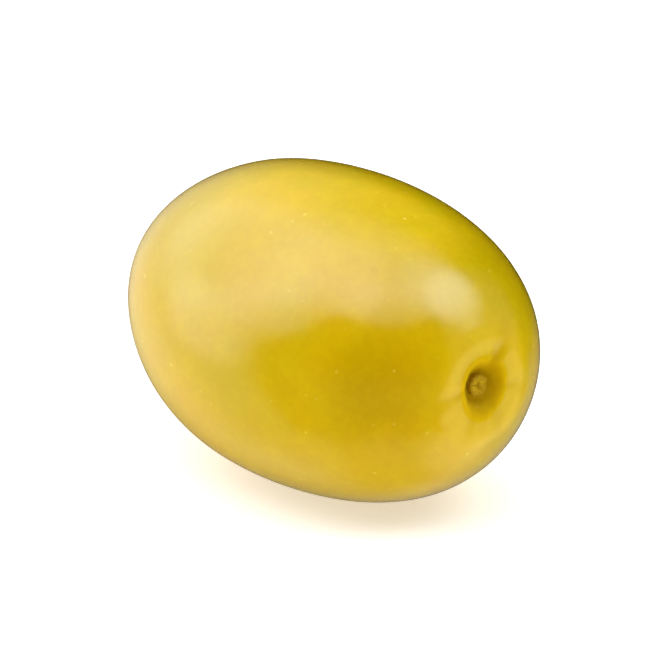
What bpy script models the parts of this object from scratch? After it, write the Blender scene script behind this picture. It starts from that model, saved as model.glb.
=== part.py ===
"""A whole green table olive, lying on its side.

The fruit is one solid. Its long axis runs along X with the stalk end at +X, +Z is up, and the origin is
on the surface it rests on, below the middle of its box. Lengths are in metres.
"""

import math

import bmesh
import bpy
from mathutils import Matrix, Vector, noise

# The turned form, and how full it is towards its ends and towards the stalk
HALF_LENGTH = 0.0144
RADIUS = 0.0098
STALK_FULLNESS = 0.095
END_FULLNESS = 0.092
STALK_LEAN = 0.017
TURN_STEPS = 72
BODY_RINGS = 29

# The hollow that the stalk left, with a low collar round it and a woody stub on its floor
SHOULDER_RADIUS = 0.0040
SHOULDER_DEPTH = 0.00034
COLLAR_RADIUS = 0.0029
COLLAR_HEIGHT = 0.00013
COLLAR_WIDTH = 0.0008
PIT_LIP_RADIUS = 0.00180
PIT_FLOOR_RADIUS = 0.00078
PIT_DEPTH = 0.00092
STUB_RADIUS = 0.00066
STUB_HEIGHT = 0.00034
STUB_RINGS = 4
PIT_RINGS = 8
SHOULDER_RINGS = 7
SHOULDER_SPREAD = 1.4

# The pit is a little taller than wide, and not quite round
PIT_OVAL = 0.07
PIT_CORNERS = 0.03
PIT_CORNER_TURN = 1.0

# Creases that run out of the hollow: the angle of each from straight down towards +Y, and its depth
CREASES = ((148, 0.00024), (207, 0.00006), (268, 0.00009), (330, 0.00008), (28, 0.00012), (84, 0.00006))
CREASE_HALF_ANGLE = math.radians(12)
CREASE_START = 0.0010
CREASE_REACH = 0.0050

# The point where the flower sat, in a shallow dish
TIP_RADIUS = 0.00075
TIP_HEIGHT = 0.00028
DISH_RADIUS = 0.0022
DISH_DEPTH = 0.00010
TIP_RINGS = 5
TIP_RING_TURN = 0.020
TIP_RING_GROWTH = 0.55

# The belly is fuller on one side, and the fruit is a little wider than it is high
BELLY = 0.00030
BELLY_ANGLE = math.radians(-60)
HEIGHT_SHARE = 0.985

# Soft flats pressed by neighbouring fruit: direction from the middle, radius of the flat and its depth
DENTS = (
    ((0.15, -0.72, 0.62), 0.0062, 0.00004),
    ((-0.62, -0.48, -0.30), 0.0050, 0.00013),
    ((-0.35, 0.75, 0.45), 0.0066, 0.00018),
    ((0.60, 0.66, -0.20), 0.0052, 0.00014),
)

# Slow unevenness of the whole skin
SWELL = 0.00009
SWELL_SIZE = 0.0075

REST_DEPTH = 0.00024
MERGE = 0.00001

SKIN_COLOUR = (0.58, 0.42, 0.035, 1.0)
SKIN_ROUGHNESS = 0.28


def eased(value, start, end):
    """0 before start, 1 after end, and a smooth step between them."""
    share = min(max((value - start) / (end - start), 0.0), 1.0)
    return share * share * (3.0 - 2.0 * share)


def girth(turn):
    """Radius of the plain fruit at an angle from the stalk end, before it is brought to size."""
    along = math.cos(turn)
    swell = 1.0 + STALK_LEAN * along + END_FULLNESS * along**2 + STALK_FULLNESS * along**3
    return math.sin(turn) * swell


def pit_depth(radius):
    """How far the stalk's hollow lies below the plain fruit, at a distance from the long axis."""
    shoulder = SHOULDER_DEPTH * (1.0 - eased(radius, PIT_LIP_RADIUS, SHOULDER_RADIUS))
    collar = COLLAR_HEIGHT * math.exp(-(((radius - COLLAR_RADIUS) / COLLAR_WIDTH) ** 2))
    pit = PIT_DEPTH * (1.0 - eased(radius, PIT_FLOOR_RADIUS, PIT_LIP_RADIUS))
    stub = STUB_HEIGHT * (1.0 - eased(radius, 0.0, STUB_RADIUS))
    return shoulder + pit - collar - stub


def tip_depth(radius):
    """How far the flower end lies below the plain fruit, at a distance from the long axis."""
    point = TIP_HEIGHT * (1.0 - eased(radius, 0.0, TIP_RADIUS))
    dish = DISH_DEPTH * (1.0 - eased(radius, 0.0, DISH_RADIUS))
    return dish - point


def ring_turns():
    """Angles of the rings from the stalk end, close together over the hollow and at the flower's point."""
    stub = [STUB_RADIUS * ring / STUB_RINGS for ring in range(STUB_RINGS + 1)]
    wall = [
        PIT_FLOOR_RADIUS + (PIT_LIP_RADIUS - PIT_FLOOR_RADIUS) * ring / PIT_RINGS
        for ring in range(PIT_RINGS + 1)
    ]
    shoulder = [
        PIT_LIP_RADIUS + (CREASE_REACH - PIT_LIP_RADIUS) * (ring / SHOULDER_RINGS) ** SHOULDER_SPREAD
        for ring in range(1, SHOULDER_RINGS + 1)
    ]
    slope = RADIUS * (1.0 + STALK_LEAN + END_FULLNESS + STALK_FULLNESS)
    hollow = [radius / slope for radius in stub + wall + shoulder]
    tip = [math.pi - TIP_RING_TURN * (1.0 + TIP_RING_GROWTH * ring) * ring for ring in range(TIP_RINGS)]
    span = tip[-1] - hollow[-1]
    body = [hollow[-1] + span * ring / (BODY_RINGS + 1) for ring in range(1, BODY_RINGS + 1)]
    return hollow + body + tip[::-1]


def turned_fruit():
    """The fruit and its hollow as one profile turned about the long axis, with the stalk end up."""
    turns = ring_turns()
    widest = max(girth(turn) for turn in turns)
    mesh = bpy.data.meshes.new("profile")
    outline = bmesh.new()
    last = None
    for turn in turns:
        radius = max(RADIUS * girth(turn) / widest, 0.0)
        depth = pit_depth(radius) if turn < math.pi / 2.0 else -tip_depth(radius)
        point = outline.verts.new((radius, 0.0, HALF_LENGTH * math.cos(turn) - depth))
        if last:
            outline.edges.new((last, point))
        last = point
    outline.to_mesh(mesh)
    outline.free()
    profile = bpy.data.objects.new("profile", mesh)
    bpy.context.scene.collection.objects.link(profile)
    turning = profile.modifiers.new("turned about the long axis", "SCREW")
    turning.axis = "Z"
    turning.steps = TURN_STEPS
    turning.render_steps = TURN_STEPS
    turning.use_merge_vertices = True
    turning.merge_threshold = MERGE
    graph = bpy.context.evaluated_depsgraph_get()
    turned = bpy.data.meshes.new_from_object(profile.evaluated_get(graph))
    bpy.data.objects.remove(profile)
    bpy.data.meshes.remove(mesh)
    return turned


def crease_depth(radius, angle):
    """Drop of the surface in the creases that run out of the hollow."""
    start = eased(radius, CREASE_START, PIT_LIP_RADIUS)
    fade = start * (1.0 - eased(radius, PIT_LIP_RADIUS, CREASE_REACH))
    depth = 0.0
    for degrees, deepest in CREASES:
        off = math.remainder(angle - math.radians(degrees), math.tau) / CREASE_HALF_ANGLE
        depth += deepest * math.exp(-off * off)
    return depth * fade


def pit_stretch(radius, angle):
    """How much the pit is widened at an angle, so that it isn't a drilled hole."""
    uneven = PIT_OVAL * math.cos(2.0 * angle) + PIT_CORNERS * math.cos(3.0 * angle + PIT_CORNER_TURN)
    return 1.0 + uneven * (1.0 - eased(radius, PIT_LIP_RADIUS, SHOULDER_RADIUS))


def dent_depth(point):
    """Depth of the pressed flats and of the skin's slow unevenness, at a point of the fruit."""
    depth = SWELL * noise.noise(point / SWELL_SIZE)
    for direction, reach, deepest in DENTS:
        way = Vector(direction).normalized()
        centre = Vector((way.x * HALF_LENGTH, way.y * RADIUS, way.z * RADIUS))
        depth += deepest * math.exp(-2.0 * ((point - centre).length / reach) ** 2)
    return depth


def pucker_hollow(shape):
    """Gives the stalk's hollow its creases and its uneven edge, while the stalk end is up."""
    for vertex in shape.verts:
        if vertex.co.z < 0.0:
            continue
        radius = math.hypot(vertex.co.x, vertex.co.y)
        angle = math.atan2(vertex.co.y, vertex.co.x)
        stretch = pit_stretch(radius, angle)
        drop = crease_depth(radius, angle)
        vertex.co = Vector((vertex.co.x * stretch, vertex.co.y * stretch, vertex.co.z - drop))


def press_body(shape):
    """Gives the fruit its fuller belly, pressed flats and slightly lower height, once it lies on its side."""
    shape.normal_update()
    side = Vector((0.0, math.cos(BELLY_ANGLE), math.sin(BELLY_ANGLE)))
    moves = []
    for vertex in shape.verts:
        bulge = BELLY * (1.0 - (vertex.co.x / HALF_LENGTH) ** 2)
        moves.append(side * bulge - vertex.normal * dent_depth(vertex.co))
    for vertex, move in zip(shape.verts, moves):
        vertex.co += move
        vertex.co.z *= HEIGHT_SHARE


def cut_rest_spot(shape):
    """Cuts the small flat that the soft fruit rests on, and puts the origin under the middle of its box."""
    level = min(vertex.co.z for vertex in shape.verts) + REST_DEPTH
    bmesh.ops.bisect_plane(
        shape,
        geom=shape.verts[:] + shape.edges[:] + shape.faces[:],
        dist=MERGE,
        plane_co=(0.0, 0.0, level),
        plane_no=(0.0, 0.0, -1.0),
        clear_outer=True,
    )
    rim = [edge for edge in shape.edges if edge.is_boundary]
    for edge in rim:
        edge.smooth = False
        for vertex in edge.verts:
            vertex.co.z = level
    bmesh.ops.contextual_create(shape, geom=rim)
    bmesh.ops.recalc_face_normals(shape, faces=shape.faces)
    ends = [(min(values), max(values)) for values in zip(*(vertex.co for vertex in shape.verts))]
    middle = Vector((sum(ends[0]) / 2.0, sum(ends[1]) / 2.0, level))
    bmesh.ops.translate(shape, verts=shape.verts, vec=-middle)


def skin_material():
    """Moist, glossy, yellow green skin."""
    skin = bpy.data.materials.new("olive_skin")
    skin.use_nodes = True
    shader = skin.node_tree.nodes["Principled BSDF"]
    shader.inputs["Base Color"].default_value = SKIN_COLOUR
    shader.inputs["Roughness"].default_value = SKIN_ROUGHNESS
    shader.inputs["Metallic"].default_value = 0.0
    return skin


def make_olive():
    """The whole fruit, alone in the scene and in its own collection."""
    for old in list(bpy.data.objects):
        bpy.data.objects.remove(old)
    shape = bmesh.new()
    shape.from_mesh(turned_fruit())
    bmesh.ops.remove_doubles(shape, verts=shape.verts, dist=MERGE)
    pucker_hollow(shape)
    shape.transform(Matrix.Rotation(math.radians(90), 4, "Y"))
    press_body(shape)
    cut_rest_spot(shape)
    for face in shape.faces:
        face.smooth = True
    mesh = bpy.data.meshes.new("olive")
    shape.to_mesh(mesh)
    shape.free()
    mesh.materials.append(skin_material())
    folder = bpy.data.collections.new("green_olive")
    bpy.context.scene.collection.children.link(folder)
    olive = bpy.data.objects.new("olive", mesh)
    folder.objects.link(olive)
    return olive


make_olive()
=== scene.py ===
"""A whole green table olive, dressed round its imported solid, in a small white studio.

The fruit lies along X with its stalk end at +X and rests on Z = 0. Lengths are in metres.
"""

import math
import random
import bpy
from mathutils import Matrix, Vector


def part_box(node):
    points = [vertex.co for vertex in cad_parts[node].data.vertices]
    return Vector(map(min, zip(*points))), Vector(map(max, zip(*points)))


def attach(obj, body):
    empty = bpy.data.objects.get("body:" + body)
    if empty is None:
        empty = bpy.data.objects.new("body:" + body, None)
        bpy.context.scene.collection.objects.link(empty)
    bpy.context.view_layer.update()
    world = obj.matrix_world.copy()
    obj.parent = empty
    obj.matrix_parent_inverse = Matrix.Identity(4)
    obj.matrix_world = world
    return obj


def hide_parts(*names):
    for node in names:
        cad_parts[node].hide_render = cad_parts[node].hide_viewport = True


bl_info = {
    "name": "Green Olive",
    "version": (1, 0, 0),
    "blender": (4, 5, 0),
    "location": "3D View > Sidebar > Olive",
    "description": "Builds a whole green table olive and a small white studio round it",
    "category": "Add Mesh",
}

import bmesh
import bpy
from bpy.props import FloatProperty, FloatVectorProperty, IntProperty, PointerProperty
from mathutils import Matrix, Vector, noise

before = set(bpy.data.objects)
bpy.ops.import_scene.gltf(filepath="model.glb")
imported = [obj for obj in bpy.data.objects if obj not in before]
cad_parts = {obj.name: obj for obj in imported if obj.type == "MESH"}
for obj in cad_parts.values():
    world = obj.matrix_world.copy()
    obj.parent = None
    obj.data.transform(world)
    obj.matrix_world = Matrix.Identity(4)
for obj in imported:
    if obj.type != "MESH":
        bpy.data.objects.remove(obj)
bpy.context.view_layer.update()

BODY = "root"
NODE = "olive"
MERGE = 0.000001


# Properties


def length(name, description, default):
    """A length property in metres."""
    return FloatProperty(
        name=name, description=description, default=default, precision=5, subtype="DISTANCE", unit="LENGTH"
    )


def share(name, description, default):
    """A property without a unit."""
    return FloatProperty(name=name, description=description, default=default, precision=3)


def colour(name, description, default):
    """A colour property."""
    return FloatVectorProperty(
        name=name, description=description, default=default, size=3, min=0.0, max=1.0, subtype="COLOR"
    )


class OliveForm(bpy.types.PropertyGroup):
    """Sizes of the fruit. They are those of the solid that the fruit is dressed round."""

    half_length: length("Half length", "Half of the fruit's length before the hollow is sunk", 0.0144)
    radius: length("Radius", "Radius of the fruit at its widest", 0.0098)
    stalk_fullness: share("Stalk fullness", "How blunt the stalk end is", 0.095)
    end_fullness: share("End fullness", "How blunt both ends are", 0.092)
    stalk_lean: share("Stalk lean", "How far the widest part is moved towards the stalk", 0.017)
    belly: length("Belly", "How much fuller one side is", 0.00030)
    belly_angle: FloatProperty(
        name="Belly angle",
        description="Direction of the fuller side, from +Y towards +Z",
        default=math.radians(-60),
        subtype="ANGLE",
        unit="ROTATION",
    )
    height_share: share("Height share", "Height of the fruit as a share of its width", 0.985)
    shoulder_radius: length("Shoulder radius", "Where the stalk's hollow starts to sink", 0.0040)
    shoulder_depth: length("Shoulder depth", "How far the shoulder has sunk at the pit's lip", 0.00034)
    collar_radius: length("Collar radius", "Radius of the low collar round the pit", 0.0029)
    collar_height: length("Collar height", "Height of the low collar round the pit", 0.00013)
    collar_width: length("Collar width", "Width of the low collar round the pit", 0.0008)
    lip_radius: length("Lip radius", "Radius of the pit's lip", 0.00180)
    floor_radius: length("Floor radius", "Radius of the pit's floor", 0.00078)
    pit_depth: length("Pit depth", "Depth of the pit below its lip", 0.00092)
    pit_oval: share("Pit oval", "How much taller than wide the pit is", 0.07)
    pit_corners: share("Pit corners", "How far the pit is from round", 0.03)
    crease_reach: length("Crease reach", "Where the creases out of the hollow end", 0.0050)
    tip_radius: length("Tip radius", "Radius of the point where the flower sat", 0.00075)
    tip_height: length("Tip height", "Height of the point where the flower sat", 0.00028)
    dish_radius: length("Dish radius", "Radius of the shallow dish round that point", 0.0022)
    dish_depth: length("Dish depth", "Depth of the shallow dish round that point", 0.00010)
    rest_depth: length("Rest depth", "How far the fruit is pressed flat where it rests", 0.00024)
    swell: length("Swell", "Height of the slow unevenness of the skin", 0.00009)
    ripple: length("Ripple", "Height of the soft ripples of a few millimetres", 0.000010)
    wrinkle: length("Wrinkle", "Height of the fine wrinkles round the hollow", 0.000035)


class OliveLook(bpy.types.PropertyGroup):
    """Colours and gloss of the fruit."""

    gold: colour("Gold", "Skin where it is ripest", (0.570, 0.366, 0.0006))
    green: colour("Green", "Skin where it stayed greener", (0.468, 0.376, 0.0006))
    pale: colour("Pale", "Paler veil of the skin between its blotches", (0.672, 0.492, 0.003))
    dots: colour("Dots", "Small pale pores of the skin", (0.86, 0.69, 0.12))
    # Painted shade: a darker patch on one side near the stalk end
    painted_shade_patch: colour("Ripe", "Riper patch on one side", (0.43, 0.258, 0.0005))
    # Painted shade: darkens a patch of the skin above the hollow
    shade: colour("Shade", "Deeper olive patch above the hollow", (0.35, 0.264, 0.0005))
    # Colour of faint rubbed spots and of the flower's point, also laid in the creases as painted shade
    bruise_and_crease_shade: colour("Bruise", "Faint rubbed spots", (0.44, 0.26, 0.003))
    hollow: colour("Hollow", "Walls of the stalk's hollow", (0.42, 0.250, 0.0003))
    wood: colour("Wood", "Torn wood of the stalk", (0.60, 0.41, 0.008))
    bark: colour("Bark", "Dark rim of the stalk", (0.34, 0.20, 0.002))
    gloss: share("Gloss", "Roughness of the skin under its moist film", 0.18)
    film: share("Film", "How much of the skin the moist film covers", 0.97)
    flesh: share("Flesh", "How far light spreads in the flesh", 0.35)


class OliveStudio(bpy.types.PropertyGroup):
    """Floor, lights and camera."""

    paper: colour("Paper", "Colour of the floor", (0.86, 0.875, 0.925))
    bounce: colour("Bounce", "Tint of the light that the floor throws on the fruit", (1.0, 0.94, 0.40))
    card: colour("Gold card", "Colour of the gold reflector cards", (1.0, 0.72, 0.10))
    paper_glow: share("Paper glow", "Light that comes up through the floor", 0.57)
    gloom: share("Gloom", "Brightness of the room behind the camera", 0.004)
    azimuth: FloatProperty(
        name="Azimuth",
        description="Camera's angle round the fruit",
        default=math.radians(49),
        subtype="ANGLE",
        unit="ROTATION",
    )
    elevation: FloatProperty(
        name="Elevation",
        description="Camera's angle above the floor",
        default=math.radians(20.5),
        subtype="ANGLE",
        unit="ROTATION",
    )
    distance: length("Distance", "From the camera to the fruit", 0.55)
    view_width: length("View width", "Width of the view at the fruit", 0.0385)


# Form of the fruit

TURN_STEPS = 360
HOLLOW_RINGS = 88
BODY_RINGS = 165
TIP_RINGS = 12
TIP_REACH = math.radians(17)
PIT_CORNER_TURN = 1.0

# The angle of each crease from straight down towards +Y, and its depth
CREASES = ((148, 0.00024), (207, 0.00006), (268, 0.00009), (330, 0.00008), (28, 0.00012), (84, 0.00006))
CREASE_HALF_ANGLE = math.radians(12)
CREASE_START = 0.0010

# Direction from the middle of each pressed flat, its radius and its depth
DENTS = (
    ((0.15, -0.72, 0.62), 0.0062, 0.00004),
    ((-0.62, -0.48, -0.30), 0.0050, 0.00013),
    ((-0.35, 0.75, 0.45), 0.0066, 0.00018),
    ((0.60, 0.66, -0.20), 0.0052, 0.00014),
)
SWELL_SIZE = 0.0075
RIPPLE_SIZE = 0.0026
RIPPLE_DRAW = 0.55
FINE_RIPPLE_SIZE = 0.0011
FINE_RIPPLE_SHARE = 0.22


def eased(value, start, end):
    """0 before start, 1 after end, and a smooth step between them."""
    part = min(max((value - start) / (end - start), 0.0), 1.0)
    return part * part * (3.0 - 2.0 * part)


def girth(form, turn):
    """Radius of the plain fruit at an angle from the stalk end, before it is brought to size."""
    along = math.cos(turn)
    swell = 1.0 + form.stalk_lean * along + form.end_fullness * along**2 + form.stalk_fullness * along**3
    return math.sin(turn) * swell


def pit_depth(form, radius):
    """How far the stalk's hollow lies below the plain fruit, at a distance from the long axis."""
    shoulder = form.shoulder_depth * (1.0 - eased(radius, form.lip_radius, form.shoulder_radius))
    collar = form.collar_height * math.exp(-(((radius - form.collar_radius) / form.collar_width) ** 2))
    pit = form.pit_depth * (1.0 - eased(radius, form.floor_radius, form.lip_radius))
    return shoulder + pit - collar


def tip_depth(form, radius):
    """How far the flower end lies below the plain fruit, at a distance from the long axis."""
    point = form.tip_height * (1.0 - eased(radius, 0.0, form.tip_radius))
    dish = form.dish_depth * (1.0 - eased(radius, 0.0, form.dish_radius))
    return dish - point


def ring_turns(form):
    """Angles of the rings from the stalk end, close together over the hollow and at the flower's point."""
    slope = form.radius * (1.0 + form.stalk_lean + form.end_fullness + form.stalk_fullness)
    edge = form.crease_reach / slope
    hollow = [edge * ring / HOLLOW_RINGS for ring in range(HOLLOW_RINGS)]
    body = [edge + (math.pi - TIP_REACH - edge) * ring / BODY_RINGS for ring in range(BODY_RINGS)]
    tip = [math.pi - TIP_REACH * (1.0 - ring / TIP_RINGS) ** 1.5 for ring in range(TIP_RINGS + 1)]
    return hollow + body + tip


def turned_fruit(form):
    """The fruit as one profile spun about the long axis, with the stalk end up."""
    shape = bmesh.new()
    turns = ring_turns(form)
    widest = max(girth(form, turn) for turn in turns)
    last = None
    for turn in turns:
        radius = max(form.radius * girth(form, turn) / widest, 0.0)
        depth = pit_depth(form, radius) if turn < math.pi / 2.0 else -tip_depth(form, radius)
        point = shape.verts.new((radius, 0.0, form.half_length * math.cos(turn) - depth))
        if last:
            shape.edges.new((last, point))
        last = point
    bmesh.ops.spin(
        shape,
        geom=shape.verts[:] + shape.edges[:],
        cent=(0.0, 0.0, 0.0),
        axis=(0.0, 0.0, 1.0),
        dvec=(0.0, 0.0, 0.0),
        angle=math.tau,
        steps=TURN_STEPS,
        use_merge=True,
        use_duplicate=False,
    )
    bmesh.ops.remove_doubles(shape, verts=shape.verts, dist=MERGE)
    bmesh.ops.recalc_face_normals(shape, faces=shape.faces)
    return shape


def crease_depth(form, radius, angle):
    """Drop of the surface in the creases that run out of the hollow."""
    start = eased(radius, CREASE_START, form.lip_radius)
    fade = start * (1.0 - eased(radius, form.lip_radius, form.crease_reach))
    depth = 0.0
    for degrees, deepest in CREASES:
        off = math.remainder(angle - math.radians(degrees), math.tau) / CREASE_HALF_ANGLE
        depth += deepest * math.exp(-off * off)
    return depth * fade


def pit_stretch(form, radius, angle):
    """How much the pit is widened at an angle, so that it isn't a drilled hole."""
    corners = form.pit_corners * math.cos(3.0 * angle + PIT_CORNER_TURN)
    uneven = form.pit_oval * math.cos(2.0 * angle) + corners
    return 1.0 + uneven * (1.0 - eased(radius, form.lip_radius, form.shoulder_radius))


# How far the hollow's darker brown reaches, as a share of its lip's radius
HOLLOW_BROWN_REACH = 1.32

# How close together wrinkles and rings stand round the hollow and how long they are, the size of the grain
# of its floor, and how strong each of the three is
WRINKLES_ROUND = 3.4
WRINKLE_LENGTH = 0.0016
RINGS_ROUND = 1.3
WALL_RING = 0.00019
GRAIN_SIZE = 0.00028
WRINKLE_SHARE = 1.6
RING_SHARE = 0.7
GRAIN_SHARE = 1.1


def wrinkle_height(form, radius, angle):
    """Fine wrinkles that run out of the hollow, rings on the pit's wall and the torn grain of its floor."""
    way = Vector((math.cos(angle), math.sin(angle), 0.0))
    outside = eased(radius, form.floor_radius, form.lip_radius)
    fade = outside * (1.0 - eased(radius, form.lip_radius, form.crease_reach))
    rays = noise.noise(way * WRINKLES_ROUND + Vector((0.0, 0.0, radius / WRINKLE_LENGTH)))
    wall = (1.0 - outside) + outside * (1.0 - eased(radius, form.lip_radius * 0.8, form.lip_radius))
    rings = noise.noise(way * RINGS_ROUND + Vector((4.0, 0.0, radius / WALL_RING)))
    grain = noise.noise(way * (radius / GRAIN_SIZE) + Vector((0.0, 7.0, 0.0)))
    height = WRINKLE_SHARE * rays * fade + RING_SHARE * rings * wall
    return form.wrinkle * (height + GRAIN_SHARE * grain * (1.0 - outside))


def dent_depth(form, point):
    """Depth of the pressed flats and of the skin's slow unevenness, at a point of the fruit."""
    depth = form.swell * noise.noise(point / SWELL_SIZE)
    for towards, reach, deepest in DENTS:
        way = Vector(towards).normalized()
        centre = Vector((way.x * form.half_length, way.y * form.radius, way.z * form.radius))
        depth += deepest * math.exp(-2.0 * ((point - centre).length / reach) ** 2)
    return depth


def ripple_height(form, point):
    """Soft ripples of a few millimetres that make the gloss wander, drawn out along the fruit."""
    drawn = Vector((point.x * RIPPLE_DRAW, point.y, point.z))
    broad = noise.noise(drawn / RIPPLE_SIZE + Vector((3.1, 0.0, 0.0)))
    fine = noise.noise(point / FINE_RIPPLE_SIZE + Vector((0.0, 5.7, 0.0)))
    return form.ripple * (broad + FINE_RIPPLE_SHARE * fine)


def pucker_hollow(form, shape):
    """Gives the stalk's hollow its creases, its wrinkles and its masks, while the stalk end is up."""
    pit = shape.verts.layers.float.new("pit")
    collar = shape.verts.layers.float.new("collar")
    crease = shape.verts.layers.float.new("crease")
    tip = shape.verts.layers.float.new("tip")
    for vertex in shape.verts:
        radius = math.hypot(vertex.co.x, vertex.co.y)
        if vertex.co.z < 0.0:
            vertex[tip] = 1.0 - eased(radius, form.tip_radius * 0.3, form.dish_radius)
            continue
        angle = math.atan2(vertex.co.y, vertex.co.x)
        drop = crease_depth(form, radius, angle)
        vertex[pit] = 1.0 - eased(radius, form.floor_radius, form.lip_radius * HOLLOW_BROWN_REACH)
        vertex[collar] = math.exp(-(((radius - form.collar_radius) / (1.5 * form.collar_width)) ** 2))
        vertex[crease] = min(drop / CREASES[0][1], 1.0)
        rise = wrinkle_height(form, radius, angle) if radius < form.crease_reach else 0.0
        stretch = pit_stretch(form, radius, angle)
        vertex.co = Vector((vertex.co.x * stretch, vertex.co.y * stretch, vertex.co.z - drop + rise))


def press_body(form, shape):
    """Gives the fruit its fuller belly, pressed flats, ripples and slightly lower height, on its side."""
    shape.normal_update()
    side = Vector((0.0, math.cos(form.belly_angle), math.sin(form.belly_angle)))
    moves = []
    for vertex in shape.verts:
        bulge = form.belly * (1.0 - (vertex.co.x / form.half_length) ** 2)
        rise = ripple_height(form, vertex.co) - dent_depth(form, vertex.co)
        moves.append(side * bulge + vertex.normal * rise)
    for vertex, move in zip(shape.verts, moves):
        vertex.co += move
        vertex.co.z *= form.height_share


# How softly the flat spot passes into the round belly, and above how many of these lengths nothing changes
REST_SOFTNESS = 0.00004
REST_SOFTNESS_REACH = 30.0


def soften_rest_spot(form, shape):
    """Presses the underside flat with a soft edge, and puts the fruit where its solid lies."""
    level = min(vertex.co.z for vertex in shape.verts) + form.rest_depth
    ends = [(min(values), max(values)) for values in zip(*(vertex.co for vertex in shape.verts))]
    low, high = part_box(NODE)
    shift = Vector((
        (low.x + high.x - ends[0][0] - ends[0][1]) / 2.0,
        (low.y + high.y - ends[1][0] - ends[1][1]) / 2.0,
        low.z - level,
    ))
    for vertex in shape.verts:
        above = (vertex.co.z - level) / REST_SOFTNESS
        if above < REST_SOFTNESS_REACH:
            vertex.co.z = level + REST_SOFTNESS * math.log1p(math.exp(above))
    bmesh.ops.translate(shape, verts=shape.verts, vec=shift)
    return shift


def finished(name, shape, material):
    """The piece as a smooth object at the origin, riding with the fruit."""
    for face in shape.faces:
        face.smooth = True
    mesh = bpy.data.meshes.new(name)
    shape.to_mesh(mesh)
    shape.free()
    mesh.materials.append(material)
    piece = bpy.data.objects.new(name, mesh)
    bpy.context.scene.collection.objects.link(piece)
    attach(piece, BODY)
    return piece


# Shading


def node(tree, kind, inputs=None, **settings):
    """A new node with its settings, and its inputs set to values or linked to sockets."""
    made = tree.nodes.new(kind)
    for key, value in settings.items():
        setattr(made, key, value)
    for key, value in (inputs or {}).items():
        if isinstance(value, bpy.types.NodeSocket):
            tree.links.new(value, made.inputs[key])
        else:
            made.inputs[key].default_value = value
    return made


def opaque(values):
    """A colour with full alpha."""
    return (*values, 1.0)


def group(name, inputs, outputs):
    """An empty node group with named inputs and outputs, and its two end nodes."""
    tree = bpy.data.node_groups.new(name, "ShaderNodeTree")
    for label, kind, default in inputs:
        socket = tree.interface.new_socket(name=label, in_out="INPUT", socket_type=kind)
        if default is not None:
            socket.default_value = default
    for label, kind in outputs:
        tree.interface.new_socket(name=label, in_out="OUTPUT", socket_type=kind)
    return tree, tree.nodes.new("NodeGroupInput"), tree.nodes.new("NodeGroupOutput")


def placed(tree, source, inputs):
    """A node group placed in a material with its own values."""
    made = tree.nodes.new("ShaderNodeGroup")
    made.node_tree = source
    for key, value in inputs.items():
        if isinstance(value, bpy.types.NodeSocket):
            tree.links.new(value, made.inputs[key])
        else:
            made.inputs[key].default_value = value
    return made


def spread(tree, value, low, high, start=0.0, end=1.0):
    """A value between low and high as a smooth share between start and end."""
    made = node(
        tree,
        "ShaderNodeMapRange",
        {"Value": value, "From Min": low, "From Max": high, "To Min": start, "To Max": end},
        interpolation_type="SMOOTHSTEP",
    )
    return made.outputs["Result"]


def blended(tree, amount, first, second, kind="MIX"):
    """Two colours mixed by an amount."""
    made = node(tree, "ShaderNodeMix", data_type="RGBA", blend_type=kind)
    for index, value in ((0, amount), (6, first), (7, second)):
        if isinstance(value, bpy.types.NodeSocket):
            tree.links.new(value, made.inputs[index])
        else:
            made.inputs[index].default_value = value
    return made.outputs[2]


def reckoned(tree, kind, first, second):
    """A sum, product or other reckoning of two values."""
    made = node(tree, "ShaderNodeMath", {0: first, 1: second}, operation=kind)
    return made.outputs[0]


def blotches_group():
    """Cloudy blotches: a mask between 0 and 1 with soft edges."""
    tree, given, result = group(
        "Blotches",
        (
            ("Vector", "NodeSocketVector", None),
            ("Size", "NodeSocketFloat", 0.004),
            ("Low", "NodeSocketFloat", 0.35),
            ("High", "NodeSocketFloat", 0.65),
        ),
        (("Mask", "NodeSocketFloat"),),
    )
    scale = reckoned(tree, "DIVIDE", 1.0, given.outputs["Size"])
    settings = {"Scale": scale, "Detail": 3.0, "Roughness": 0.5, "Distortion": 0.1}
    cloud = node(tree, "ShaderNodeTexNoise", {"Vector": given.outputs["Vector"], **settings})
    mask = spread(tree, cloud.outputs["Fac"], given.outputs["Low"], given.outputs["High"])
    tree.links.new(mask, result.inputs["Mask"])
    return tree


# Pores: the smallest and largest as a share of the usual, the full core, and which are left out or full
PORE_SIZES = (0.5, 1.3)
PORE_CORE = 0.35
PORE_CHANCE = (0.25, 0.9)


def pores_group():
    """Small scattered pores of uneven size and strength."""
    tree, given, result = group(
        "Pores",
        (
            ("Vector", "NodeSocketVector", None),
            ("Spacing", "NodeSocketFloat", 0.001),
            ("Dot", "NodeSocketFloat", 0.16),
        ),
        (("Mask", "NodeSocketFloat"),),
    )
    scale = reckoned(tree, "DIVIDE", 1.0, given.outputs["Spacing"])
    cells = node(
        tree,
        "ShaderNodeTexVoronoi",
        {"Vector": given.outputs["Vector"], "Scale": scale, "Randomness": 1.0},
        feature="F1",
    )
    chance = node(tree, "ShaderNodeSeparateColor", {"Color": cells.outputs["Color"]})
    uneven = spread(tree, chance.outputs["Red"], 0.0, 1.0, *PORE_SIZES)
    size = reckoned(tree, "MULTIPLY", given.outputs["Dot"], uneven)
    inner = reckoned(tree, "MULTIPLY", size, PORE_CORE)
    dot = spread(tree, cells.outputs["Distance"], size, inner)
    strength = spread(tree, chance.outputs["Green"], *PORE_CHANCE)
    tree.links.new(reckoned(tree, "MULTIPLY", dot, strength), result.inputs["Mask"])
    return tree


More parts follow.
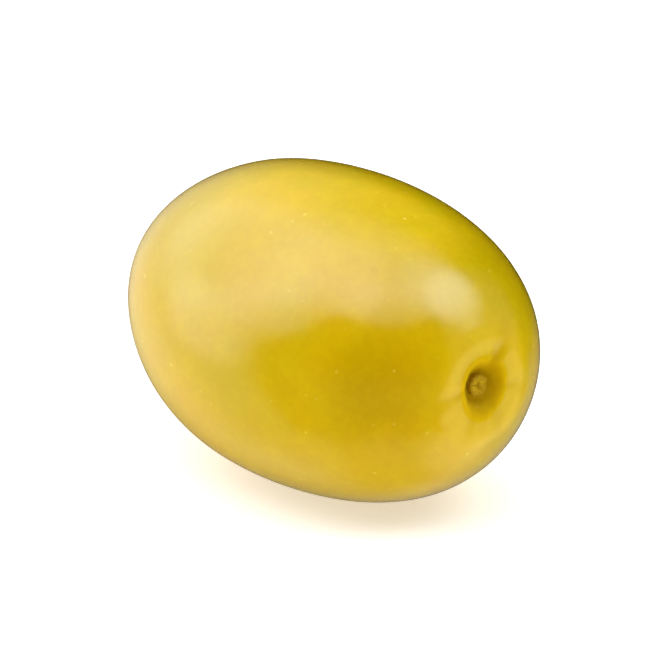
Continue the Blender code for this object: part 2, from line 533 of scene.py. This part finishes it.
def grain_group():
    """Torn woody grain that is drawn out along X."""
    tree, given, result = group(
        "Grain",
        (
            ("Vector", "NodeSocketVector", None),
            ("Size", "NodeSocketFloat", 0.0001),
        ),
        (("Mask", "NodeSocketFloat"),),
    )
    drawn = node(tree, "ShaderNodeMapping", {"Vector": given.outputs["Vector"], "Scale": (0.25, 1.0, 1.0)})
    scale = reckoned(tree, "DIVIDE", 1.0, given.outputs["Size"])
    fibres = node(
        tree,
        "ShaderNodeTexNoise",
        {"Vector": drawn.outputs["Vector"], "Scale": scale, "Detail": 4.0, "Roughness": 0.6},
    )
    tree.links.new(spread(tree, fibres.outputs["Fac"], 0.32, 0.68), result.inputs["Mask"])
    return tree


def shared_group(name, build):
    """A node group that is built once and then shared."""
    return bpy.data.node_groups.get(name) or build()


def reach_along(tree, place, way):
    """How far a place lies along a direction."""
    return node(tree, "ShaderNodeVectorMath", {0: place, 1: way}, operation="DOT_PRODUCT").outputs["Value"]


def pattern(tree, build, name, place, values):
    """The mask of a shared pattern, placed with its own values."""
    return placed(tree, shared_group(name, build), {"Vector": place, **values}).outputs["Mask"]


def mask_of(tree, name):
    """The values that a piece carries on its own points."""
    return node(tree, "ShaderNodeAttribute", attribute_name=name, attribute_type="GEOMETRY").outputs["Fac"]


def new_material(name):
    """A material with its tree and its shader."""
    made = bpy.data.materials.new(name)
    made.use_nodes = True
    return made, made.node_tree, made.node_tree.nodes["Principled BSDF"]


# The skin is greener towards this side, in full where a point lies this far along it, and in clouds
GREEN_SIDE = (0.25, 0.80, 0.55)
GREEN_SIDE_REACH = 0.0150
GREEN_SIDE_SHARE = 0.34
GREEN_CLOUD_SHARE = 0.38

# Patches of another colour: which, where on the fruit, how far they reach and how strong they are
# The first two patches are painted shade; the green ones are the skin's own colour
PATCHES = (
    # Painted shade on one side near the stalk end
    ("painted_shade_patch", (0.0118, -0.0064, 0.0106), 0.0048, 0.50),
    # Painted shade above the hollow
    ("shade", (0.0110, 0.0042, 0.0158), 0.0056, 0.50),
    ("green", (0.0045, -0.0092, 0.0100), 0.0070, 0.45),
    ("green", (-0.0040, -0.0080, 0.0155), 0.0080, 0.50),
)

# Blotches: their size, and the lower and upper level of the cloud that they are cut from
GREEN_CLOUD = {"Size": 0.0060, "Low": 0.34, "High": 0.66}
VEIL = {"Size": 0.0024, "Low": 0.42, "High": 0.74}
STIPPLE = {"Size": 0.00048, "Low": 0.42, "High": 0.66}
SMEAR = {"Size": 0.0030, "Low": 0.30, "High": 0.70}

# Pale pores and rubbed spots: how far apart they are, and their radius as a share of that
PORES = {"Spacing": 0.00092, "Dot": 0.15}
RUBBED_SPOTS = {"Spacing": 0.0042, "Dot": 0.17}

# How much of each colour covers the skin where its mask is full
VEIL_SHARE = 0.26
STIPPLE_SHARE = 0.13
PORE_SHARE = 0.45
RUBBED_SHARE = 0.22
COLLAR_SHARE = 0.35
# Painted shade in the creases out of the hollow
CREASE_SHADE_SHARE = 0.45
PIT_SHARE = 0.92
TIP_SHARE = 0.55

# Gloss: how it varies, how much duller the pit and its creases are, and where in the pit the film ends
GLOSS_BELOW = 0.03
GLOSS_ABOVE = 0.04
DULL_ROUGHNESS = 0.60
DULL_CREASE = 0.35
DRY_FROM = 0.3
PORE_DEPTH = 0.000012
SKIN_BUMP = 0.000006
SKIN_BUMP_SCALE = 5200.0
SKIN_IOR = 1.45
FLESH_SHINE = 0.08
FILM_IOR = 1.58
FILM_ROUGHNESS = 0.15
FLESH_REACH = 0.0016
FLESH_COLOURS = (1.0, 0.62, 0.10)


def toned(tree, base, mask, amount, tone):
    """A colour laid over the skin where a mask is, up to an amount."""
    return blended(tree, reckoned(tree, "MULTIPLY", mask, amount), base, opaque(tone))


def skin_colour(tree, look, place, fleck, pit):
    """Golden and green clouds, patches, a pale veil and pores, rubbed spots, the hollow's brown and painted
    shade.
    """
    collar, crease, tip = (mask_of(tree, name) for name in ("collar", "crease", "tip"))
    veil = pattern(tree, blotches_group, "Blotches", place, VEIL)
    stipple = pattern(tree, blotches_group, "Blotches", place, STIPPLE)
    rubbed = pattern(tree, pores_group, "Pores", place, RUBBED_SPOTS)

    side = spread(tree, reach_along(tree, place, GREEN_SIDE), 0.0, GREEN_SIDE_REACH)
    cloud = pattern(tree, blotches_group, "Blotches", place, GREEN_CLOUD)
    sides = reckoned(tree, "MULTIPLY", side, GREEN_SIDE_SHARE)
    greenness = reckoned(tree, "ADD", sides, reckoned(tree, "MULTIPLY", cloud, GREEN_CLOUD_SHARE))
    base = blended(tree, greenness, opaque(look.gold), opaque(look.green))
    base = toned(tree, base, veil, VEIL_SHARE, look.pale)
    for name, centre, reach, amount in PATCHES:
        away = node(tree, "ShaderNodeVectorMath", {0: place, 1: centre}, operation="DISTANCE")
        near = spread(tree, away.outputs["Value"], reach, 0.0, 0.0, amount)
        base = blended(tree, near, base, opaque(getattr(look, name)))
    for mask, amount, tone in (
        (stipple, STIPPLE_SHARE, look.pale),
        (fleck, PORE_SHARE, look.dots),
        (rubbed, RUBBED_SHARE, look.bruise_and_crease_shade),
        (collar, COLLAR_SHARE, look.pale),
        # Painted shade: the creases out of the hollow are darkened
        (crease, CREASE_SHADE_SHARE, look.bruise_and_crease_shade),
        (pit, PIT_SHARE, look.hollow),
        (tip, TIP_SHARE, look.bruise_and_crease_shade),
    ):
        base = toned(tree, base, mask, amount, tone)
    return base


def skin_normal(tree, place, fleck):
    """The skin's fine unevenness, with its pores a little sunk."""
    settings = {"Vector": place, "Scale": SKIN_BUMP_SCALE, "Detail": 2.0, "Roughness": 0.5}
    fine = node(tree, "ShaderNodeTexNoise", settings).outputs["Fac"]
    pocks = node(tree, "ShaderNodeBump", {"Height": fleck, "Strength": 0.6, "Distance": PORE_DEPTH})
    rough = {"Height": fine, "Strength": 0.5, "Distance": SKIN_BUMP, "Normal": pocks.outputs["Normal"]}
    return node(tree, "ShaderNodeBump", rough).outputs["Normal"]


def skin_material(look):
    """Moist skin: golden and green blotches, pale pores, rubbed spots and a brown hollow without a film."""
    made, tree, shader = new_material("moist_olive_skin")
    place = node(tree, "ShaderNodeTexCoord").outputs["Object"]
    pit, crease = mask_of(tree, "pit"), mask_of(tree, "crease")
    fleck = pattern(tree, pores_group, "Pores", place, PORES)
    tree.links.new(skin_colour(tree, look, place, fleck, pit), shader.inputs["Base Color"])
    tree.links.new(skin_normal(tree, place, fleck), shader.inputs["Normal"])

    smear = pattern(tree, blotches_group, "Blotches", place, SMEAR)
    gloss = spread(tree, smear, 0.0, 1.0, look.gloss - GLOSS_BELOW, look.gloss + GLOSS_ABOVE)
    dry = spread(tree, pit, 0.0, DRY_FROM)
    dull = reckoned(tree, "MAXIMUM", dry, reckoned(tree, "MULTIPLY", crease, DULL_CREASE))
    gloss = reckoned(tree, "ADD", gloss, reckoned(tree, "MULTIPLY", dull, DULL_ROUGHNESS))
    tree.links.new(gloss, shader.inputs["Roughness"])
    tree.links.new(spread(tree, dull, 0.0, 1.0, look.film, 0.0), shader.inputs["Coat Weight"])

    shader.inputs["IOR"].default_value = SKIN_IOR
    shader.inputs["Specular IOR Level"].default_value = FLESH_SHINE
    shader.inputs["Coat Roughness"].default_value = FILM_ROUGHNESS
    shader.inputs["Coat IOR"].default_value = FILM_IOR
    shader.inputs["Subsurface Weight"].default_value = look.flesh
    shader.inputs["Subsurface Radius"].default_value = FLESH_COLOURS
    shader.inputs["Subsurface Scale"].default_value = FLESH_REACH
    return made


# Torn wood: the size of its fibres and of its darker clouds, how strong they are and how rough it is
WOOD_FIBRES = {"Size": 0.00009}
WOOD_CLOUDS = {"Size": 0.00045, "Low": 0.40, "High": 0.60}
WOOD_CLOUD_SHARE = 0.45
WOOD_RIM_SHARE = 0.75
WOOD_ROUGHNESS = (0.62, 0.42)
WOOD_BUMP = 0.00003
WOOD_SHINE = 0.15


def wood_material(look):
    """Torn, dull wood of the stalk, dark at its rim."""
    made, tree, shader = new_material("torn_stalk_wood")
    place = node(tree, "ShaderNodeTexCoord").outputs["Object"]
    fibres = pattern(tree, grain_group, "Grain", place, WOOD_FIBRES)
    cloud = pattern(tree, blotches_group, "Blotches", place, WOOD_CLOUDS)
    dark = mask_of(tree, "rim")
    base = blended(tree, fibres, opaque(look.bark), opaque(look.wood))
    base = toned(tree, base, cloud, WOOD_CLOUD_SHARE, look.hollow)
    base = toned(tree, base, dark, WOOD_RIM_SHARE, look.bark)
    tree.links.new(base, shader.inputs["Base Color"])
    tree.links.new(spread(tree, fibres, 0.0, 1.0, *WOOD_ROUGHNESS), shader.inputs["Roughness"])
    bump = node(tree, "ShaderNodeBump", {"Height": fibres, "Strength": 0.8, "Distance": WOOD_BUMP})
    tree.links.new(bump.outputs["Normal"], shader.inputs["Normal"])
    shader.inputs["Specular IOR Level"].default_value = WOOD_SHINE
    return made


# Stalk stub and flower tip

# The stub's plug: radius, height, how far it is sunk, rings, how hollow its top is and where its noise starts
STUB_RADIUS = 0.00066
STUB_HEIGHT = 0.00034
STUB_PLUG = (STUB_RADIUS, STUB_HEIGHT, 0.00030, 10, 1.0, 2.0)

# The same for the dried point where the flower sat, and how far that point is sunk in the skin
TIP_PLUG = (0.00022, 0.00016, 0.00020, 8, 0.6, 9.0)
TIP_SUNK = 0.00018
PLUG_SIDES = 44
PLUG_CLOSED = 0.94
PLUG_ROUNDS = 2.6
PLUG_LAYERS = 3.0

# How uneven a plug's side is, as a share of its radius, and its top, and how far its middle sinks
SIDE_RAGGED = 0.10
TOP_RAGGED = 0.35
TOP_SUNK = 0.30

# Broken fibres: number, sides, lean, thickness, and their height, taper and spread as shares
FIBRES = 30
FIBRE_SIDES = 6
FIBRE_SEED = 11
FIBRE_LEAN = 0.35
FIBRE_THICKNESS = (0.000045, 0.000085)
FIBRE_HEIGHT = (0.35, 0.85)
FIBRE_TAPER = (0.35, 0.75)
FIBRE_SPREAD = 0.88
FIBRE_FOOT = 0.45
FIBRE_DARK = (0.0, 0.7)


def rim_mask(shape):
    """The mask for the dark rim of a woody piece."""
    return shape.verts.layers.float.get("rim") or shape.verts.layers.float.new("rim")


def ragged_plug(shape, radius, height, sunk, steps, hollowness, seed):
    """A round plug along Z with a ragged top. Its rings go up, in over the top and close in the middle."""
    rim = rim_mask(shape)
    ring = bmesh.ops.create_circle(shape, cap_ends=False, radius=radius, segments=PLUG_SIDES)["verts"]
    bmesh.ops.translate(shape, verts=ring, vec=(0.0, 0.0, -sunk))
    edges = list({edge for vertex in ring for edge in vertex.link_edges})
    for number in range(1, steps + 1):
        part = number / steps
        up = min(part * 2.0, 1.0)
        inwards = max(part * 2.0 - 1.0, 0.0)
        made = bmesh.ops.extrude_edge_only(shape, edges=edges)["geom"]
        verts = [item for item in made if isinstance(item, bmesh.types.BMVert)]
        edges = [item for item in made if isinstance(item, bmesh.types.BMEdge)]
        for vertex in verts:
            angle = math.atan2(vertex.co.y, vertex.co.x)
            way = Vector((math.cos(angle), math.sin(angle), 0.0))
            rough = noise.noise(way * PLUG_ROUNDS + Vector((seed, 0.0, part * PLUG_LAYERS)))
            across = radius * (1.0 - PLUG_CLOSED * inwards) * (1.0 + SIDE_RAGGED * rough)
            top = TOP_RAGGED * rough * up - TOP_SUNK * inwards * hollowness
            high = -sunk + (sunk + height) * up + height * top
            vertex.co = Vector((way.x * across, way.y * across, high))
            vertex[rim] = (1.0 - eased(inwards, 0.1, 0.5)) * eased(up, 0.2, 0.9)
    bmesh.ops.contextual_create(shape, geom=edges)


def torn_fibres(shape, draw, radius, height):
    """Short broken fibres that stand on the plug, all a little different."""
    rim = rim_mask(shape)
    for _ in range(FIBRES):
        away = radius * FIBRE_SPREAD * math.sqrt(draw.random())
        angle = draw.uniform(0.0, math.tau)
        thick = draw.uniform(*FIBRE_THICKNESS)
        tall = height * draw.uniform(*FIBRE_HEIGHT)
        lean = Matrix.Rotation(draw.uniform(-FIBRE_LEAN, FIBRE_LEAN), 4, "X")
        lean = lean @ Matrix.Rotation(draw.uniform(-FIBRE_LEAN, FIBRE_LEAN), 4, "Y")
        foot = (away * math.cos(angle), away * math.sin(angle), height * FIBRE_FOOT)
        made = bmesh.ops.create_cone(
            shape,
            cap_ends=True,
            cap_tris=False,
            segments=FIBRE_SIDES,
            radius1=thick,
            radius2=thick * draw.uniform(*FIBRE_TAPER),
            depth=tall,
            matrix=Matrix.Translation(foot) @ lean,
        )
        shade = draw.uniform(*FIBRE_DARK)
        for vertex in made["verts"]:
            vertex[rim] = shade


def laid_down(shape, along, shift):
    """Lays a piece that was built upright on the fruit's axis, with its foot at a place along the fruit."""
    shape.transform(Matrix.Rotation(math.radians(90), 4, "Y"))
    bmesh.ops.translate(shape, verts=shape.verts, vec=Vector((along, 0.0, 0.0)) + shift)


# Operators


class OLIVE_OT_skin(bpy.types.Operator):
    """Build the fruit's skin with its hollow, creases and rest spot"""

    bl_idname = "olive.skin"
    bl_label = "Skin"

    def execute(self, context):
        form = context.scene.olive_form
        shape = turned_fruit(form)
        pucker_hollow(form, shape)
        shape.transform(Matrix.Rotation(math.radians(90), 4, "Y"))
        press_body(form, shape)
        shift = soften_rest_spot(form, shape)
        context.scene["olive_shift"] = list(shift)
        skin = finished("moist_skin", shape, skin_material(context.scene.olive_look))
        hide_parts(NODE)
        return {"FINISHED"}


class OLIVE_OT_stalk_stub(bpy.types.Operator):
    """Build the torn stub of the stalk on the floor of the hollow"""

    bl_idname = "olive.stalk_stub"
    bl_label = "Stalk stub"

    def execute(self, context):
        form = context.scene.olive_form
        shape = bmesh.new()
        ragged_plug(shape, *STUB_PLUG)
        torn_fibres(shape, random.Random(FIBRE_SEED), STUB_RADIUS, STUB_HEIGHT)
        bmesh.ops.recalc_face_normals(shape, faces=shape.faces)
        floor = form.half_length - form.shoulder_depth - form.pit_depth
        laid_down(shape, floor, Vector(context.scene["olive_shift"]))
        finished("stalk_stub", shape, wood_material(context.scene.olive_look))
        return {"FINISHED"}


class OLIVE_OT_flower_tip(bpy.types.Operator):
    """Build the dried point where the flower sat"""

    bl_idname = "olive.flower_tip"
    bl_label = "Flower tip"

    def execute(self, context):
        form = context.scene.olive_form
        shape = bmesh.new()
        ragged_plug(shape, *TIP_PLUG)
        bmesh.ops.recalc_face_normals(shape, faces=shape.faces)
        shape.transform(Matrix.Rotation(math.pi, 4, "X"))
        end = TIP_SUNK - (form.half_length + form.tip_height - form.dish_depth)
        laid_down(shape, end, Vector(context.scene["olive_shift"]))
        finished("flower_tip", shape, bpy.data.materials["torn_stalk_wood"])
        return {"FINISHED"}


# The floor: half its side, its roughness, and the share of its glow that the camera sees
FLOOR_HALF = 1.2
PAPER_ROUGHNESS = 0.6
PAPER_GLOW_SEEN = 0.80
PAPER_FIBRE_SCALE = 900.0
PAPER_TONES = (0.985, 1.0)
BACKDROP = 1.0
WHITE = (1.0, 1.0, 1.0, 1.0)

# The tent's dark opening round the camera: its lower and upper angle in degrees and how soft its edge is
OPENING_TURN = (-79.0, 50.0, 6.0)
OPENING_RISE = (-46.0, 43.0, 8.0)

# How far its left edge leans to the right for each degree above the floor
OPENING_LEAN = 0.6

# Glows of the tent: degrees round from the camera to the right and up, inner and outer angle, brightness
GLOWS = {
    "left wall": (-112, 20, 20, 75, 0.52),
    "left window": (-113, 33, 12, 40, 1.05),
    "left window, far side": (-140, 35, 8, 32, 0.20),
    "left window, near side": (-92, 38, 5, 20, 0.55),
    "left window, low part": (-98, 2, 6, 24, 1.25),
    "edge of the opening": (-80, 26, 5, 20, 1.0),
    "behind, to the left": (-140, 0, 12, 40, 0.30),
    "table behind, to the left": (-145, -32, 12, 40, 0.15),
    "table to the left": (-105, -42, 12, 40, 0.25),
    "table behind, to the right": (145, -42, 10, 34, 0.30),
    "table to the right": (80, -42, 12, 40, 0.55),
    "table in front": (0, -64, 8, 24, 0.10),
    "table below": (0, -90, 20, 46, 0.15),
    "ceiling": (0, 90, 18, 45, 0.70),
    "ceiling lamp": (0, 90, 8, 28, 0.50),
    "ceiling, left": (-80, 64, 10, 34, 0.95),
    "ceiling, right": (75, 62, 10, 32, 1.20),
    "over the opening, far left": (-58, 54, 6, 26, 0.75),
    "over the opening, left": (-34, 57, 6, 26, 0.50),
    "over the opening": (-8, 58, 6, 26, 0.40),
    "over the opening, right": (18, 58, 6, 26, 0.35),
    "over the opening, far right": (42, 56, 6, 26, 0.35),
    "right window": (79, 47, 3, 28, 2.6),
    "right wall": (86, 20, 10, 45, 0.30),
}

# Gold reflector cards behind the fruit and low at its sides, in the same numbers
GOLD_CARDS = {
    "behind": (180, 50, 12, 40, 0.80),
    "low right": (80, -42, 12, 40, 0.70),
    "low left": (-145, -32, 12, 40, 0.25),
}


def direction(studio, turn, rise):
    """A direction from the fruit: degrees round from the camera towards the view's right, and degrees up."""
    front = Vector((math.sin(studio.azimuth), -math.cos(studio.azimuth), 0.0))
    right = Vector((math.cos(studio.azimuth), math.sin(studio.azimuth), 0.0))
    turn, rise = math.radians(turn), math.radians(rise)
    level = front * math.cos(turn) + right * math.sin(turn)
    return level * math.cos(rise) + Vector((0.0, 0.0, math.sin(rise)))


def paper_floor(studio):
    """A wide sheet of white paper that glows a little and throws slightly golden light on the fruit."""
    made, tree, shader = new_material("white_paper")
    place = node(tree, "ShaderNodeTexCoord").outputs["Object"]
    cloud = node(tree, "ShaderNodeTexNoise", {"Vector": place, "Scale": PAPER_FIBRE_SCALE, "Detail": 2.0})
    tone = spread(tree, cloud.outputs["Fac"], 0.3, 0.7, *PAPER_TONES)
    shade = blended(tree, 1.0, opaque(studio.paper), tone, "MULTIPLY")
    seen = node(tree, "ShaderNodeLightPath").outputs["Is Camera Ray"]
    tint = blended(tree, seen, opaque(studio.bounce), WHITE)
    tree.links.new(blended(tree, 1.0, shade, tint, "MULTIPLY"), shader.inputs["Base Color"])
    tree.links.new(tint, shader.inputs["Emission Color"])
    shader.inputs["Roughness"].default_value = PAPER_ROUGHNESS
    glow_share = spread(tree, seen, 0.0, 1.0, 1.0, PAPER_GLOW_SEEN)
    strength = reckoned(tree, "MULTIPLY", glow_share, studio.paper_glow)
    tree.links.new(strength, shader.inputs["Emission Strength"])
    shape = bmesh.new()
    bmesh.ops.create_grid(shape, x_segments=1, y_segments=1, size=FLOOR_HALF)
    mesh = bpy.data.meshes.new("paper_floor")
    shape.to_mesh(mesh)
    shape.free()
    mesh.materials.append(made)
    floor = bpy.data.objects.new("paper_floor", mesh)
    floor.visible_glossy = False
    bpy.context.scene.collection.objects.link(floor)


def glow(tree, place, way, inner, outer, strength):
    """A soft glow of the room round a direction, full inside one angle and gone outside another."""
    facing = reach_along(tree, place, way)
    return spread(tree, facing, math.cos(math.radians(outer)), math.cos(math.radians(inner)), 0.0, strength)


def soft_step(tree, value, middle, soft):
    """A soft step from 0 to 1 at an angle in degrees, or from 1 to 0 where soft is below zero."""
    return spread(tree, value, math.radians(middle - soft / 2.0), math.radians(middle + soft / 2.0))


def outside_opening(tree, place, studio):
    """0 in the tent's dark opening in front of the fruit and 1 outside it."""
    forwards = reach_along(tree, place, direction(studio, 0, 0))
    rightwards = reach_along(tree, place, direction(studio, 90, 0))
    turn = reckoned(tree, "ARCTAN2", rightwards, forwards)
    upwards = reach_along(tree, place, (0.0, 0.0, 1.0))
    rise = node(tree, "ShaderNodeMath", {0: upwards}, operation="ARCSINE").outputs[0]
    lean = reckoned(tree, "MULTIPLY", reckoned(tree, "MAXIMUM", rise, 0.0), OPENING_LEAN)
    leaning = reckoned(tree, "SUBTRACT", turn, lean)
    left, right, soft = OPENING_TURN
    low, high, soft_rise = OPENING_RISE
    from_left = soft_step(tree, leaning, left, soft)
    across = reckoned(tree, "MULTIPLY", from_left, soft_step(tree, turn, right, -soft))
    from_below = soft_step(tree, rise, low, soft_rise)
    updown = reckoned(tree, "MULTIPLY", from_below, soft_step(tree, rise, high, -soft_rise))
    return reckoned(tree, "SUBTRACT", 1.0, reckoned(tree, "MULTIPLY", across, updown))


def all_glows(tree, place, studio, glows, outside):
    """The sum of some glows, without the part that would lie in the tent's opening."""
    bright = 0.0
    for turn, rise, inner, outer, strength in glows.values():
        one = glow(tree, place, direction(studio, turn, rise), inner, outer, strength)
        bright = reckoned(tree, "ADD", bright, one)
    return reckoned(tree, "MULTIPLY", bright, outside)


def room(studio, glows, cards, backdrop):
    """The white tent round the fruit, brighter at some places, with a dark opening in front."""
    world = bpy.context.scene.world or bpy.data.worlds.new("studio_room")
    world.use_nodes = True
    bpy.context.scene.world = world
    tree = world.node_tree
    tree.nodes.clear()
    place = node(tree, "ShaderNodeTexCoord").outputs["Generated"]
    outside = outside_opening(tree, place, studio)
    bright = reckoned(tree, "ADD", all_glows(tree, place, studio, glows, outside), studio.gloom)
    light = node(tree, "ShaderNodeBackground", {"Color": WHITE, "Strength": bright})
    warm = all_glows(tree, place, studio, cards, outside)
    gold = node(tree, "ShaderNodeBackground", {"Color": opaque(studio.card), "Strength": warm})
    tent = node(tree, "ShaderNodeAddShader", {0: light.outputs[0], 1: gold.outputs[0]})
    plain = node(tree, "ShaderNodeBackground", {"Color": WHITE, "Strength": backdrop})
    seen = node(tree, "ShaderNodeLightPath").outputs["Is Camera Ray"]
    both = node(tree, "ShaderNodeMixShader", {0: seen, 1: tent.outputs[0], 2: plain.outputs[0]})
    node(tree, "ShaderNodeOutputWorld", {"Surface": both.outputs[0]})


# Width of the camera's sensor in millimetres, and the nearest and farthest distance that it sees
SENSOR_WIDTH = 36.0
CLIP = (0.01, 10.0)


def camera(studio, aim):
    """A long lens at the photograph's angle."""
    lens = bpy.data.cameras.new("camera")
    lens.sensor_width = SENSOR_WIDTH
    lens.lens = lens.sensor_width * studio.distance / studio.view_width
    lens.clip_start, lens.clip_end = CLIP
    eye = bpy.data.objects.new("camera", lens)
    back = direction(studio, 0.0, math.degrees(studio.elevation))
    eye.location = aim + back * studio.distance
    eye.rotation_mode = "QUATERNION"
    eye.rotation_quaternion = back.to_track_quat("Z", "Y")
    bpy.context.scene.collection.objects.link(eye)
    bpy.context.scene.camera = eye


class OLIVE_OT_stage(bpy.types.Operator):
    """Build the white floor, the glowing room and the camera"""

    bl_idname = "olive.stage"
    bl_label = "Stage"

    def execute(self, context):
        studio = context.scene.olive_studio
        low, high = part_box(NODE)
        aim = (low + high) / 2.0
        paper_floor(studio)
        room(studio, GLOWS, GOLD_CARDS, BACKDROP)
        camera(studio, aim)
        context.scene.view_settings.view_transform = "Standard"
        context.scene.view_settings.look = "None"
        return {"FINISHED"}


class OLIVE_PT_panel(bpy.types.Panel):
    """The olive's sizes, looks and pieces"""

    bl_idname = "OLIVE_PT_panel"
    bl_label = "Green Olive"
    bl_space_type = "VIEW_3D"
    bl_region_type = "UI"
    bl_category = "Olive"

    def draw(self, context):
        for piece in PIECES:
            self.layout.operator(piece.bl_idname)
        for settings in (context.scene.olive_form, context.scene.olive_look, context.scene.olive_studio):
            column = self.layout.box().column()
            for name in settings.__annotations__:
                column.prop(settings, name)


PIECES = (OLIVE_OT_skin, OLIVE_OT_stalk_stub, OLIVE_OT_flower_tip, OLIVE_OT_stage)
CLASSES = (OliveForm, OliveLook, OliveStudio, *PIECES, OLIVE_PT_panel)


def register():
    for made in CLASSES:
        bpy.utils.register_class(made)
    bpy.types.Scene.olive_form = PointerProperty(type=OliveForm)
    bpy.types.Scene.olive_look = PointerProperty(type=OliveLook)
    bpy.types.Scene.olive_studio = PointerProperty(type=OliveStudio)


def unregister():
    del bpy.types.Scene.olive_studio
    del bpy.types.Scene.olive_look
    del bpy.types.Scene.olive_form
    for made in reversed(CLASSES):
        bpy.utils.unregister_class(made)


def main():
    register()
    bpy.ops.olive.skin()
    bpy.ops.olive.stalk_stub()
    bpy.ops.olive.flower_tip()
    bpy.ops.olive.stage()


if __name__ == "__main__":
    main()
